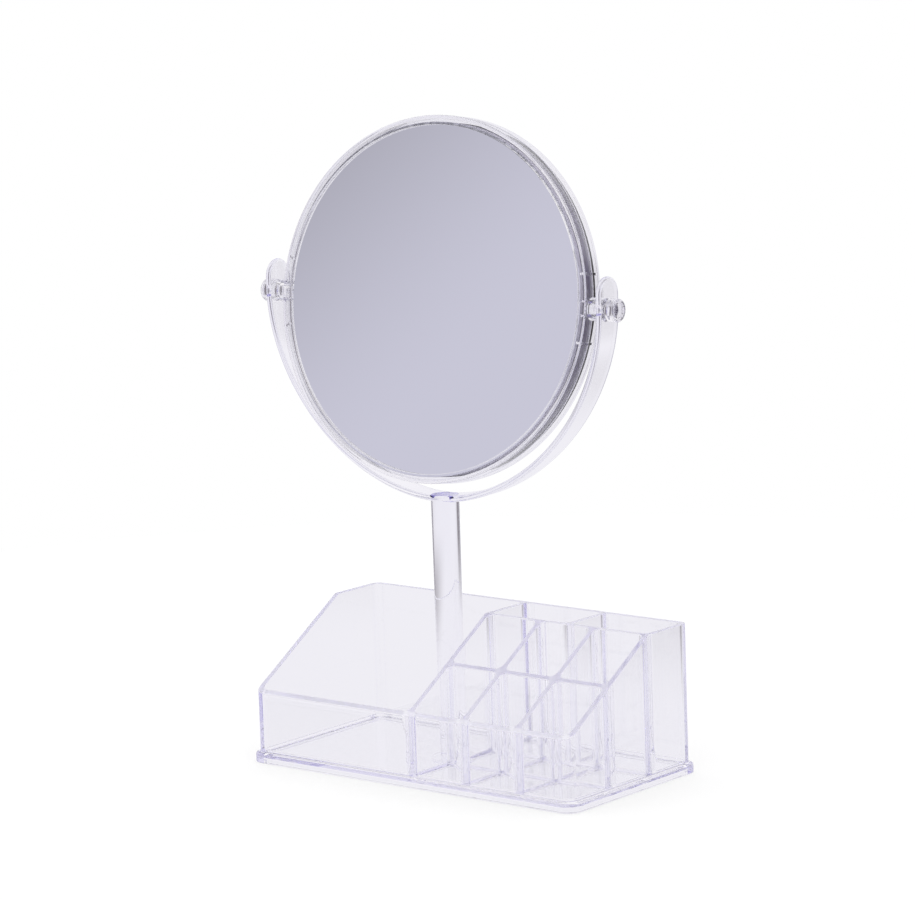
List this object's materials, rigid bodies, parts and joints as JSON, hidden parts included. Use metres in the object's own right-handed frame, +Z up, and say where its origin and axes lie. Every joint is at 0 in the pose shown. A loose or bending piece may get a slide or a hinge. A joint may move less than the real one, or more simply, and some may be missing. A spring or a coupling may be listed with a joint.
{
  "type": "cosmetics organiser with swivel mirror",
  "caption": "Clear cosmetics tray with an open bay and upright slots, and a round two-sided mirror that flips in a yoke on a swivelling post.",
  "frame": {"origin": "on the swivel axis of the stand, at the level of the surface that the tray stands on, at the centre of the pad under the post", "axes": "+X to the right of someone facing the tray's low front wall, +Y to the tray's high back wall, +Z up"},
  "size_m": [0.1979, 0.0924, 0.2917],
  "materials": {
    "tray_plastic": "clear polystyrene, polished",
    "stand_plastic": "clear polystyrene, polished",
    "frame_plastic": "clear polystyrene, polished",
    "pin_plastic": "clear polystyrene, polished",
    "mirror_glass": "silvered glass with a grey painted back"
  },
  "bodies": {
    "base": {"organiser_tray": "tray_plastic"},
    "stand": {"stand_post": "stand_plastic", "yoke": "stand_plastic"},
    "head": {"front_frame": "frame_plastic", "rear_frame": "frame_plastic", "plane_mirror": "mirror_glass", "magnifying_mirror": "mirror_glass", "pivot_pin_left": "pin_plastic", "pivot_pin_right": "pin_plastic"}
  },
  "joints": [
    {"name": "stand_swivel", "type": "hinge", "parent": "base", "child": "stand", "pos_m": [0, 0, 0.0042], "axis": [0, 0, 1], "continuous": true},
    {"name": "mirror_flip", "type": "hinge", "parent": "stand", "child": "head", "pos_m": [0, 0, 0.2105], "axis": [0.9969, 0.0785, 0], "continuous": true}
  ]
}
